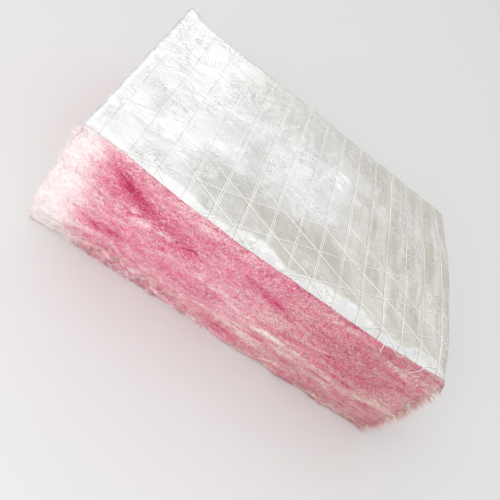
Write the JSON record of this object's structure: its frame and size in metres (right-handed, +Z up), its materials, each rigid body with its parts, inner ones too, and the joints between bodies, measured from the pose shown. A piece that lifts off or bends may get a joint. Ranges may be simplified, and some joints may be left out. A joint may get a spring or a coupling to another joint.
{
  "type": "foil-faced glass wool batt",
  "caption": "Cut rectangular piece of pink glass wool insulation with a scrim-reinforced aluminium foil facing bonded to its top.",
  "frame": {"origin": "middle of the underside, on the floor that the piece lies on", "axes": "+X along the longest side, +Y from the long cut face in view to the one behind it, +Z up through the thickness to the foil"},
  "size_m": [0.255, 0.172, 0.075],
  "materials": {
    "wool": "matte fibrous pink glass wool",
    "foil": "satin crinkled foil laminate",
    "yarn": "glass yarn under foil"
  },
  "bodies": {
    "root": {"glass_wool_batt": "wool", "foil_facing": "foil", "scrim": "yarn"}
  },
  "joints": []
}
